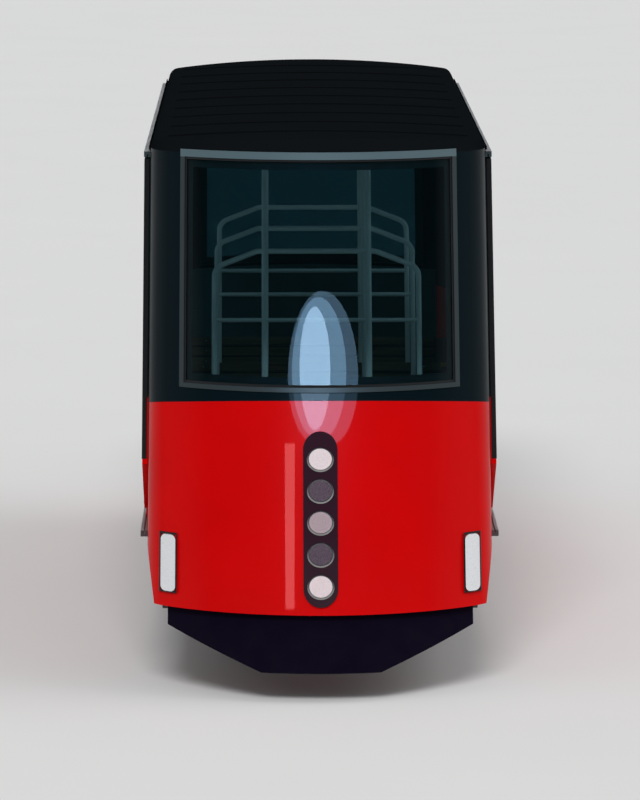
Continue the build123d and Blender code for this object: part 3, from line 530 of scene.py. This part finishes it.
def make_materials():
    return {
        "nose": paint("nose_paint", RED, 0.30, coat=0.5, specular=0.03, dust=0.03, turn=(0.09, 0.36, 0.14)),
        "red": paint("red_paint", RED, 0.30, coat=0.25, specular=0.03, dust=0.05, turn=(0.2, 0.9, 0.2)),
        "side": paint("side_paint", RED, 0.30, coat=0.15, specular=0.03, upper=BLACK, dust=0.04,
                      turn=(0.7, 0.93, 0.05)),
        "black": paint("black_paint", BLACK, 0.30, coat=0.25, specular=0.03, dust=0.1,
                       turn=(0.12, 0.5, 0.05)),
        # Roof made near-black: partly its own dark paint, partly painted shade.
        "roof": paint("dark_roof_paint_and_painted_shade", (0.0060, 0.0075, 0.0088), 0.9, specular=0.0, dust=0.0),
        "glass": glass("dark_glass", (0.19, 0.38, 0.43), (0.95, 0.98, 0.98)),
        "side_glass": glass("side_glass", (0.36, 0.50, 0.54), (0.95, 0.98, 0.98), ior=1.2),
        # The tail glass is tinted far darker than the nose glass: painted shade that darkens what is seen
        # through the car behind it.
        "tail_glass": glass("tail_glass", (0.015, 0.045, 0.055), (0.70, 0.80, 0.82)),
        "frame": paint("frame_paint", (0.028, 0.028, 0.030), 0.5, dust=0.6),
        # Apron near-black with a purple cast: dark paint, and painted shade from beneath the car.
        "apron": paint("apron_paint_and_painted_shade", (0.003, 0.0015, 0.009), 0.6, specular=0.03, dust=0.03),
        "box": paint("equipment_paint", (0.11, 0.12, 0.13), 0.45, dust=0.6),
        "cast": paint("cast_iron", (0.055, 0.055, 0.058), 0.6, dust=0.7),
        "wheel": wheel_steel("wheel_steel"),
        "brake": paint("brake_paint", (0.06, 0.06, 0.065), 0.55, dust=0.7),
        "clevis": metal("machined_steel", (0.30, 0.30, 0.31), 0.35),
        "guide": metal("guide_metal", (0.50, 0.51, 0.52), 0.38, axis="Y"),
        "sill": ribbed("sill_plate", (0.42, 0.42, 0.42), 0.4, "X", 0.008, metallic=1.0),
        # Screen trim: dark grey, with a lighter colour above the top of the screen as a painted highlight
        # where the head faces up to the light.
        "trim": paint("trim_grey_painted_highlight", (0.030, 0.042, 0.047), 0.35, specular=0.3, upper=(0.085, 0.13, 0.15),
                      change=SCREEN_HIGH - 0.001),
        "strip": paint("lamp_plate", (0.030, 0.010, 0.020), 0.4, coat=0.1, specular=0.1),
        "lens": lens_material("lamp_lens", LENS_COLOURS),
        "marker": lens_material("marker_lens", [(0.0, MARKER_COLOUR), (0.9, MARKER_COLOUR)]),
        "bench": paint("bench_paint", (0.09, 0.095, 0.10), 0.45, dust=0.0),
        "wood": wood("slat_wood", (0.20, 0.13, 0.08), (0.11, 0.066, 0.036)),
        "floor": ribbed("floor_cover", (0.040, 0.070, 0.080), 0.7, "X", 0.02),
        "rail": paint("rail_paint", (0.85, 0.86, 0.86), 0.3, dust=0.0),
        "rubber": rubber("black_rubber"),
        "bolt": metal("bolt_zinc", (0.42, 0.42, 0.41), 0.4, brush=40.0),
        "lining": paint("lining_panel", (0.055, 0.105, 0.12), 0.6, dust=0.0),
        "light": paint("diffuser", (0.72, 0.73, 0.74), 0.5, dust=0.0),
        "step": rubber("step_nosing", (0.55, 0.38, 0.03), 0.6),
        "handle": metal("handle_metal", (0.55, 0.56, 0.57), 0.28, axis="Z"),
    }


# The nodes that wear each material
WEARS = {
    "nose": ["nose_lower"],
    "red": ["tail_lower"],
    "side": ["wall_left", "wall_right"] + [f"door_{door}" for door in DOORS],
    "black": ["nose_frame", "tail_frame"],
    "roof": ["roof"],
    "tail_glass": ["tail_glass"],
    "glass": ["nose_glass"],
    "side_glass": ["side_glass"] + [f"door_glass_{door}" for door in DOORS],
    "frame": ["underframe", "floor_stringers"],
    "apron": ["aprons"],
    "box": ["equipment_box"],
    "cast": ["axle_boxes"],
    "wheel": ["axle_lower", "axle_upper"],
    "brake": ["rail_brakes"],
    "clevis": ["rope_clevis", "towing_eye"],
    "guide": ["door_guides"],
    "sill": ["door_sills"],
    "trim": ["screen_trim"],
    "strip": ["lamp_strips"],
    "lens": ["lamp_lenses"],
    "marker": ["marker_lamps"],
    "bench": ["bench_brackets"],
    "wood": ["bench_slats"],
    "floor": ["floor"],
    "rail": ["grab_rails"],
}


def dress_nodes():
    for key, names in WEARS.items():
        for name in names:
            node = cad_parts[name]
            node.data.materials.clear()
            node.data.materials.append(MATERIALS[key])


# Building pieces: every mesh is made in the car's frame and rides on a body
def add_piece(name, mesh_data, material, body="car", bevel=0.0):
    """Turn the built mesh into a piece with the given material, with its edges rounded by a bevel."""
    bmesh.ops.recalc_face_normals(mesh_data, faces=mesh_data.faces)
    mesh = bpy.data.meshes.new(name)
    mesh_data.to_mesh(mesh)
    mesh_data.free()
    piece = bpy.data.objects.new(name, mesh)
    bpy.context.scene.collection.objects.link(piece)
    mesh.materials.append(MATERIALS[material])
    if bevel:
        rounding = piece.modifiers.new("rounded_edges", "BEVEL")
        rounding.width = bevel
        rounding.segments = 2
        rounding.limit_method = "ANGLE"
        rounding.angle_limit = radians(ROUND_ANGLE)
    mesh.shade_smooth()
    mesh.set_sharp_from_angle(angle=radians(SHARP_ANGLE))
    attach(piece, body)
    return piece


def join_loops(bm, first, second):
    """Faces between two closed loops with the same number of corners."""
    count = len(first)
    for index in range(count):
        after = (index + 1) % count
        bm.faces.new((first[index], first[after], second[after], second[index]))


def prism(bm, first, second):
    """Closed plate between two outlines of the same corners."""
    near = [bm.verts.new(point) for point in first]
    far = [bm.verts.new(point) for point in second]
    join_loops(bm, near, far)
    bm.faces.new(near)
    bm.faces.new(far[::-1])


def ring(bm, outlines):
    """Closed ring through outlines of the same corners, each joined to the next, the last to the first."""
    loops = [[bm.verts.new(point) for point in outline] for outline in outlines]
    for index, loop in enumerate(loops):
        join_loops(bm, loop, loops[(index + 1) % len(loops)])


def at_x(corners, x):
    return [Vector((x, y, z)) for y, z in corners]


def side_plate(bm, corners, x0, x1):
    """Plate with these side-view corners between two places across."""
    prism(bm, at_x(corners, min(x0, x1)), at_x(corners, max(x0, x1)))


def grown(corners, margin):
    """Side-view corners of a convex panel, moved outward by a margin square to each edge."""
    points = [Vector(corner) for corner in corners]
    middle = sum(points, Vector((0, 0))) / len(points)
    lines = []
    for index, start in enumerate(points):
        along = (points[(index + 1) % len(points)] - start).normalized()
        out = Vector((along.y, -along.x))
        if out.dot(start - middle) < 0:
            out.negate()
        lines.append((start + out * margin, along))
    moved = []
    for index in range(len(points)):
        start, along = lines[index - 1]
        other, beside = lines[index]
        distance = (other - start).cross(beside) / along.cross(beside)
        moved.append(tuple(start + along * distance))
    return moved


def side_ring(bm, corners, inner, outer, x0, x1):
    """Frame around side-view corners, from an inner to an outer margin and between two places across."""
    small, large = grown(corners, inner), grown(corners, outer)
    ring(bm, [at_x(small, x0), at_x(large, x0), at_x(large, x1), at_x(small, x1)])


def lathe(bm, centre, axis, profile, steps, closed=False):
    """Shape turned about an axis; the profile lists radius and distance along the axis."""
    axis = Vector(axis).normalized()
    side = axis.orthogonal().normalized()
    other = axis.cross(side)
    angles = [2 * pi * step / steps for step in range(steps)]
    loops = []
    for radius, along in profile:
        middle = Vector(centre) + axis * along
        if radius == 0:
            loops.append([bm.verts.new(middle)])
        else:
            arms = [(side * cos(angle) + other * sin(angle)) * radius for angle in angles]
            loops.append([bm.verts.new(middle + arm) for arm in arms])
    pairs = list(zip(loops, loops[1:]))
    if closed:
        pairs.append((loops[-1], loops[0]))
    for first, second in pairs:
        if len(first) == 1 or len(second) == 1:
            tip, rim = (first[0], second) if len(first) == 1 else (second[0], first)
            for index in range(steps):
                bm.faces.new((tip, rim[index], rim[(index + 1) % steps]))
        else:
            join_loops(bm, first, second)


def bolt(bm, place, axis, radius, height):
    """Hexagon head on a washer, seated on the surface at a place."""
    washer, brim = height * WASHER, radius * BRIM
    lathe(bm, place, axis, [(0, 0), (brim, 0), (brim, washer), (0, washer)], steps=16)
    top = washer + height
    head = [(0, washer), (radius, washer), (radius, top * CROWN_LOW), (radius * CROWN_IN, top), (0, top)]
    lathe(bm, place, axis, head, steps=6)


def tube(bm, points, radius):
    """Round bar through points, mitred at each bend."""
    points = [Vector(point) for point in points]
    loops = []
    side = None
    for index, point in enumerate(points):
        before = (point - points[index - 1]).normalized() if index else None
        after = (points[index + 1] - point).normalized() if index + 1 < len(points) else None
        along = ((before or after) + (after or before)).normalized()
        side = side - along * side.dot(along) if side else along.orthogonal()
        side.normalize()
        other = along.cross(side)
        hinge = None
        if before and after and before.cross(after).length > STRAIGHT:
            hinge = before.cross(after).normalized()
            stretch = 1 / max(along.dot(before), MITRE_LIMIT)
        loop = []
        for step in range(TUBE_STEPS):
            angle = 2 * pi * step / TUBE_STEPS
            arm = side * cos(angle) + other * sin(angle)
            if hinge:
                flat = arm - hinge * arm.dot(hinge)
                arm = hinge * arm.dot(hinge) + flat * stretch
            loop.append(bm.verts.new(point + arm * radius))
        loops.append(loop)
    for first, second in zip(loops, loops[1:]):
        join_loops(bm, first, second)
    bm.faces.new(loops[0])
    bm.faces.new(loops[-1][::-1])


def rounded_path(corners, radius):
    """Points along straight runs whose corners are rounded."""
    corners = [Vector(corner) for corner in corners]
    path = [corners[0]]
    for before, corner, after in zip(corners, corners[1:], corners[2:]):
        start = corner + (before - corner).normalized() * radius
        stop = corner + (after - corner).normalized() * radius
        for step in range(BEND_STEPS + 1):
            share = step / BEND_STEPS
            path.append(start.lerp(corner, share).lerp(corner.lerp(stop, share), share))
    path.append(corners[-1])
    return path


def across_nose(half):
    return [half * (2 * step / ARC_STEPS - 1) for step in range(ARC_STEPS + 1)]


def nose_rectangle(end, half, low, high, proud):
    """Outline of a rectangle, seen from the front, that lies on the curved end of the body."""
    across = across_nose(half)
    points = [nose_point(end, x, low, proud) for x in across]
    return points + [nose_point(end, x, high, proud) for x in reversed(across)]


def nose_ring(bm, end, half, low, high, width, inner, outer):
    """Frame just inside a rectangle on the curved end, between two depths."""
    large, small = (half, low, high), (half - width, low + width, high - width)
    section = ((large, inner), (small, inner), (small, outer), (large, outer))
    ring(bm, [nose_rectangle(end, *sizes, proud) for sizes, proud in section])


def nose_patch(bm, end, half, low, high, inner, outer):
    """Closed curved plate on the end of the body, between two depths."""
    corners = ((low, outer), (high, outer), (high, inner), (low, inner))
    columns = [[bm.verts.new(nose_point(end, x, z, proud)) for z, proud in corners]
               for x in across_nose(half)]
    for first, second in zip(columns, columns[1:]):
        join_loops(bm, first, second)
    bm.faces.new(columns[0])
    bm.faces.new(columns[-1][::-1])


# Ends of the car
def screen_pieces():
    """Rubber seals around the screens and the dark borders behind their glass."""
    for end in ENDS:
        for name, beside, below, above, width, inner, outer, bevel in SCREEN_RINGS:
            bm = bmesh.new()
            sizes = (SCREEN_HALF + beside, SCREEN_LOW - below, SCREEN_HIGH + above)
            nose_ring(bm, end, *sizes, width, inner, outer)
            add_piece(f"{name}_{end}", bm, "rubber", bevel=bevel)


def marker_outline(end, side, margin, depth):
    """Outline around a marker lamp, a margin outside it and at a depth from the surface of the end."""
    middle, half = side * MARKER_PLACE, MARKER_HALF + margin
    corners = rectangle(middle - half, middle + half, MARKER_LOW - margin, MARKER_HIGH + margin)
    return [nose_point(end, x, z, depth) for x, z in corners]


def lamp_pieces():
    """Bezels and moulded rings on the round lamps, and rubber frames around the marker lamps."""
    for end, sign in ENDS.items():
        bezels, rings, markers = bmesh.new(), bmesh.new(), bmesh.new()
        for height in LENS_HEIGHTS:
            middle = Vector((0, *lean(sign * (ARC_CENTRE + NOSE_RADIUS) / COS, height)))
            lathe(bezels, middle, LEVEL * sign, LENS_BEZEL, steps=40, closed=True)
            for profile in LENS_RINGS:
                lathe(rings, middle, LEVEL * sign, profile, steps=36, closed=True)
        for side in SIDES.values():
            ring(markers, [marker_outline(end, side, margin, depth) for margin, depth in MARKER_SECTION])
        add_piece(f"lamp_bezels_{end}", bezels, "bolt")
        add_piece(f"lamp_rings_{end}", rings, "lens")
        add_piece(f"marker_bezels_{end}", markers, "rubber", bevel=0.003)


def joint_seams():
    """Rubber in the upright joints between the ends and the side walls."""
    for end, sign in ENDS.items():
        bm = bmesh.new()
        place = sign * END_JOINT / COS
        corners = slanted(place - SEAM_HALF, place + SEAM_HALF, TUCK, EAVES + SEAM_RISE)
        for side in SIDES.values():
            side_plate(bm, corners, side * (HALF_WIDTH - SEAM_DEPTH), side * (HALF_WIDTH + SEAM_PROUD))
        add_piece(f"end_joint_seals_{end}", bm, "rubber")


# Sides of the car
def window_pieces():
    """Rubber seals outside and lining frames inside around the side windows."""
    for side, sign in SIDES.items():
        for name, material, inner, outer, near, far, bevel in WINDOW_RINGS:
            bm = bmesh.new()
            for edge in EDGES[:-1]:
                corners = slanted(edge + WINDOW_START, edge + WINDOW_STOP, SILL, HEAD)
                side_ring(bm, corners, inner, outer, sign * (HALF_WIDTH + near), sign * (HALF_WIDTH + far))
            add_piece(f"{name}_{side}", bm, material, bevel=bevel)


def gutter_pieces():
    """Drip rail above the door guide, following the roof's edge."""
    half = END_JOINT / COS - DRIP_RAIL_INSET
    for side, sign in SIDES.items():
        bm = bmesh.new()
        outlines = [[Vector((sign * (HALF_WIDTH + out), *lean(place, EAVES + up))) for out, up in DRIP_RAIL]
                    for place in (-half, half)]
        prism(bm, *outlines)
        add_piece(f"drip_rail_{side}", bm, "roof")


def door_pieces():
    """Window seals, edge rubbers, a flush handle and screws on each leaf."""
    for side, sign in SIDES.items():
        face = sign * LEAF_OUT
        proud = face + sign * RUBBER_PROUD
        for index, edge in enumerate(EDGES[:-1]):
            door = f"{side}_{index + 1}"
            body = f"door_{door}"
            bm = bmesh.new()
            pane = slanted(edge + LEAF_START + LEAF_FRAME, edge + LEAF_STOP - LEAF_FRAME, SILL, HEAD)
            side_ring(bm, pane, -SEAL_IN, SEAL_AROUND, face - sign * SEAL_DEPTH, proud)
            for place, inward in ((LEAF_START, 1), (LEAF_STOP, -1)):
                low, high = floor_height(place) + RUBBER_FOOT, LEAF_HEAD - RUBBER_HEAD
                for reach, back in ((RUBBER_WIDTH, face), (-RUBBER_EDGE, face - sign * RUBBER_BACK)):
                    start, stop = sorted((edge + place, edge + place + inward * reach))
                    side_plate(bm, slanted(start, stop, low, high), back, proud)
            add_piece(f"door_rubbers_{door}", bm, "rubber", body, bevel=0.001)
            middle = edge + LEAF_STOP - GRIP_BACK
            grip = slanted(middle - GRIP_HALF, middle + GRIP_HALF, GRIP_LOW, GRIP_HIGH)
            bm = bmesh.new()
            side_ring(bm, grip, *GRIP_RIM, face, face + sign * GRIP_PROUD)
            for place in LEAF_SCREWS:
                for height in LEAF_SCREW_HEIGHTS:
                    lathe(bm, (face, *lean(edge + place, height)), (sign, 0, 0), SCREW, steps=14)
            add_piece(f"door_fittings_{door}", bm, "handle", body, bevel=0.0008)
            bm = bmesh.new()
            side_plate(bm, grown(grip, GRIP_PLATE_MARGIN), face, face + sign * GRIP_PLATE)
            add_piece(f"door_grip_{door}", bm, "rubber", body)


# Running gear and underside
def bolt_circle(bm, place, side, face, radius, turn, size, height):
    """Bolts on a circle around an axle's end."""
    for step in range(BOLTS):
        angle = 2 * pi * (step + turn) / BOLTS
        spot = (side * face, place + radius * cos(angle), WHEEL_RADIUS + radius * sin(angle))
        bolt(bm, spot, (side, 0, 0), size, height)


def axle_pieces():
    """Bolts on the wheel hubs, which turn with their axle."""
    for body, place in AXLES.items():
        bm = bmesh.new()
        for side in SIDES.values():
            bolt_circle(bm, place, side, HUB_OUT, *HUB_BOLTS)
        add_piece(f"hub_bolts_{body}", bm, "bolt", body)


def axle_box_pieces():
    """Bolts and a cover on the outer face of each axle box."""
    bm = bmesh.new()
    for place in AXLES.values():
        for side in SIDES.values():
            bolt_circle(bm, place, side, BOX_OUT, *BOX_BOLTS)
            lathe(bm, (side * BOX_OUT, place, WHEEL_RADIUS), (side, 0, 0), AXLE_COVER, steps=28)
    add_piece("axle_box_bolts", bm, "bolt")


def equipment_pieces():
    """Lids on both sides of the equipment box, with their bolts and handles."""
    low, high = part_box("equipment_box")
    span = (high.y - low.y) / LIDS
    level = (low.z + high.z) / 2
    lids, fasteners = bmesh.new(), bmesh.new()
    for sign, x in ((-1, low.x), (1, high.x)):
        face, out = x + sign * LID, x + sign * LID_HANDLE_OUT
        for index in range(LIDS):
            start, stop = low.y + index * span, low.y + (index + 1) * span
            lid = rectangle(start + LID_MARGIN, stop - LID_MARGIN, low.z + LID_MARGIN, high.z - LID_HEAD)
            side_plate(lids, lid, x, face)
            for y in (start + LID_BOLT_INSET, stop - LID_BOLT_INSET):
                for z in (low.z + LID_BOLT_INSET, high.z - LID_BOLT_HEAD):
                    bolt(fasteners, (face, y, z), (sign, 0, 0), *LID_BOLT)
            rear, front = (start + stop) / 2 - LID_HANDLE_HALF, (start + stop) / 2 + LID_HANDLE_HALF
            handle = [(face, rear, level), (out, rear, level), (out, front, level), (face, front, level)]
            tube(fasteners, rounded_path(handle, LID_HANDLE_BEND), LID_HANDLE_RADIUS)
    add_piece("equipment_lids", lids, "box", bevel=0.002)
    add_piece("equipment_fasteners", fasteners, "bolt")


def pipe_pieces():
    """Brake pipe and conduit along the outer faces of the sills, with their clamps."""
    low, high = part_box("underframe")
    for side, sign in SIDES.items():
        pipes, clamps = bmesh.new(), bmesh.new()
        for level, radius in PIPES:
            x = sign * (SILL_OUT + radius)
            tube(pipes, [(x, low.y + PIPE_INSET, level), (x, high.y - PIPE_INSET, level)], radius)
        place = low.y + CLAMP_START
        while place < high.y - CLAMP_STOP:
            clamp = rectangle(place, place + CLAMP_WIDTH, CLAMP_LOW, CLAMP_HIGH)
            side_plate(clamps, clamp, sign * SILL_OUT, sign * (SILL_OUT + CLAMP_DEPTH))
            place += CLAMP_PITCH
        add_piece(f"brake_pipes_{side}", pipes, "clevis")
        add_piece(f"pipe_clamps_{side}", clamps, "bolt", bevel=0.002)


# Inside
def bench_pieces():
    """Screws that hold the slats of the seats and backs to the brackets."""
    bm = bmesh.new()
    for edge in EDGES[1:]:
        for across in BRACKETS:
            for index in range(SLATS):
                out = -SEAT_DEPTH + SLAT_HALF + index * SLAT_PITCH
                lathe(bm, riser_point(edge, across, out, SEAT_TOP), UPRIGHT, SCREW, steps=12)
                up = BACK_TOP - SLAT_HALF - index * SLAT_PITCH
                lathe(bm, riser_point(edge, across, -BACK_DEPTH - SLAT, up), -LEVEL, SCREW, steps=12)
    add_piece("slat_screws", bm, "bolt")


def nosing_pieces():
    """Yellow nosings on the lip of each step."""
    bm = bmesh.new()
    half = HALF_WIDTH - WALL - NOSING_GAP
    for edge in EDGES[1:-1]:
        lip = Vector((0, *lean(edge, FLOOR_HIGH)))
        corners = [lip + LEVEL * out + UPRIGHT * up for out, up in NOSING]
        prism(bm, *([corner + Vector((across, 0, 0)) for corner in corners] for across in (-half, half)))
    add_piece("step_nosings", bm, "step", bevel=0.0015)


def lining_pieces():
    """Panels on the inner faces of the walls, from the floor to the windows, and below the end windows."""
    face = HALF_WIDTH - WALL
    start, stop, top = WINDOW_START - LINING_BEFORE_WINDOW, PITCH - LINING_GAP, SILL - LINING_HEAD
    foot, end_foot = floor_height(start) + LINING_FOOT, floor_height(PITCH) + LINING_FOOT
    for side, sign in SIDES.items():
        bm = bmesh.new()
        for edge in EDGES[:-1]:
            corners = [lean(edge + start, foot), lean(edge + stop, end_foot), lean(edge + stop, top),
                       lean(edge + start, top)]
            side_plate(bm, corners, sign * face, sign * (face - LINING))
        add_piece(f"wall_linings_{side}", bm, "lining")
    lows = {"nose": floor_height(END_LINING_PLACE) + END_LINING_FOOT, "tail": TAIL_LINING_LOW}
    for end, low in lows.items():
        bm = bmesh.new()
        nose_patch(bm, end, END_LINING_HALF, low, END_LINING_HEAD, -WALL - LINING, -WALL)
        add_piece(f"end_lining_{end}", bm, "lining")


def ceiling_pieces():
    """Diffuser strips and lining panels under the roof."""
    lights, lining = bmesh.new(), bmesh.new()
    for edge in EDGES[:-1]:
        strip = slanted(edge + LIGHT_START, edge + LIGHT_STOP, CEILING - LIGHT_DROP, CEILING + LIGHT_RISE)
        for side in SIDES.values():
            side_plate(lights, strip, side * LIGHT_IN, side * LIGHT_OUT)
        start, stop = edge + CEILING_MARGIN, edge + PITCH - CEILING_MARGIN
        panel = slanted(start, stop, CEILING, CEILING + CEILING_PANEL)
        side_plate(lining, panel, -CEILING_HALF, CEILING_HALF)
    add_piece("ceiling_lights", lights, "light", bevel=0.004)
    add_piece("ceiling_panels", lining, "lining", bevel=0.002)


# Camera, lights and studio
def turned_to(place, target):
    """Rotation of a camera or lamp at a place that looks at a target."""
    return (Vector(target) - Vector(place)).to_track_quat("-Z", "Y").to_euler()


def place_camera():
    data = bpy.data.cameras.new("camera")
    data.lens = CAMERA_LENS
    data.sensor_width = CAMERA_SENSOR
    data.clip_end = CAMERA_CLIP
    camera = bpy.data.objects.new("camera", data)
    front = nose_point("nose", 0.0, LOOK_HEIGHT)
    camera.location = (CAMERA_ASIDE, nose_point("nose", CORNER_ASIDE, SKIRT).y - CAMERA_BACK, CAMERA_HEIGHT)
    camera.rotation_euler = turned_to(camera.location, (LOOK_ASIDE, front.y, LOOK_HEIGHT))
    bpy.context.scene.collection.objects.link(camera)
    bpy.context.scene.camera = camera


def add_light(name, kind, place, target, energy, **settings):
    data = bpy.data.lights.new(name, kind)
    data.energy = energy
    for setting, value in settings.items():
        setattr(data, setting, value)
    lamp = bpy.data.objects.new(name, data)
    lamp.visible_camera = False
    lamp.location = place
    lamp.rotation_euler = turned_to(place, target)
    bpy.context.scene.collection.objects.link(lamp)
    return lamp


def add_highlight(name, nodes, shape, x, low, high, width, away, power, tint):
    """Softbox that only these nodes of the nose mirror, at a place across and between two heights."""
    place = nose_point("nose", x, (low + high) / 2)
    normal = Vector((x / NOSE_RADIUS, 0, 0)) - LEVEL * sqrt(1 - (x / NOSE_RADIUS) ** 2)
    view = (place - bpy.context.scene.camera.location).normalized()
    out = view - 2 * view.dot(normal) * normal
    up = UPRIGHT - UPRIGHT.dot(out) * out
    size = width * (1 + 2 * away / NOSE_RADIUS)
    size_y = (high - low) / COS * up.length
    lamp = add_light(name, "AREA", place + out * away, place, power, shape=shape, size=size, size_y=size_y,
                     color=tint)
    up.normalize()
    lamp.rotation_euler = Matrix((up.cross(out), up, out)).transposed().to_euler()
    lamp.visible_diffuse = False
    lamp.visible_transmission = False
    mirrors = bpy.data.collections.new(name)
    for node in nodes:
        mirrors.objects.link(bpy.data.objects[node])
    lamp.light_linking.receiver_collection = mirrors


def light_studio():
    for name, place, strength, spread in SUNS:
        lamp = add_light(name, "SUN", place, LIGHTS_AT, strength, angle=radians(spread))
        lamp.visible_glossy = False
        lamp.visible_transmission = False
    for highlight in HIGHLIGHTS:
        add_highlight(*highlight)


def lay_floor():
    mesh = bpy.data.meshes.new("studio_floor")
    corners = rectangle(-FLOOR_HALF, FLOOR_HALF, -FLOOR_HALF, FLOOR_HALF)
    mesh.from_pydata([(x, y, 0) for x, y in corners], [], [(0, 1, 2, 3)])
    ground = bpy.data.objects.new("studio_floor", mesh)
    bpy.context.scene.collection.objects.link(ground)
    material, tree, shader, place = new_material("studio_floor")
    tone = varied(tree, noise(tree, place, 0.5), FLOOR, 0.985)
    set_inputs(tree, shader, {"Base Color": tone, "Roughness": 0.9, "Specular IOR Level": 0.1})
    mesh.materials.append(material)


def set_world():
    """Even pale light; seen directly, mirrored or through glass, the sky darkens overhead."""
    world = bpy.data.worlds.new("studio")
    bpy.context.scene.world = world
    world.use_nodes = True
    tree = world.node_tree
    lighting = tree.nodes["Background"]
    set_inputs(tree, lighting, {"Color": (*SKY, 1), "Strength": SKY_LIGHT})
    direction = tree.nodes.new("ShaderNodeTexCoord").outputs["Generated"]
    dome = ramp(tree, coordinate(tree, direction, "Z"), [(0.20, SKY), (0.60, OVERHEAD)])
    seen = add_node(tree, "ShaderNodeBackground", {"Color": dome})
    path = tree.nodes.new("ShaderNodeLightPath")
    total = path.outputs["Is Camera Ray"]
    for ray in ("Is Glossy Ray", "Is Transmission Ray"):
        total = maths(tree, "MAXIMUM", total, path.outputs[ray])
    mix_shaders(tree, total, lighting.outputs["Background"], seen.outputs["Background"], "World Output")


MATERIALS = make_materials()
place_camera()
light_studio()
lay_floor()
set_world()
dress_nodes()
screen_pieces()
lamp_pieces()
joint_seams()
window_pieces()
gutter_pieces()
door_pieces()
axle_pieces()
axle_box_pieces()
equipment_pieces()
bench_pieces()
nosing_pieces()
lining_pieces()
pipe_pieces()
ceiling_pieces()
bpy.context.scene.view_settings.view_transform = "Standard"
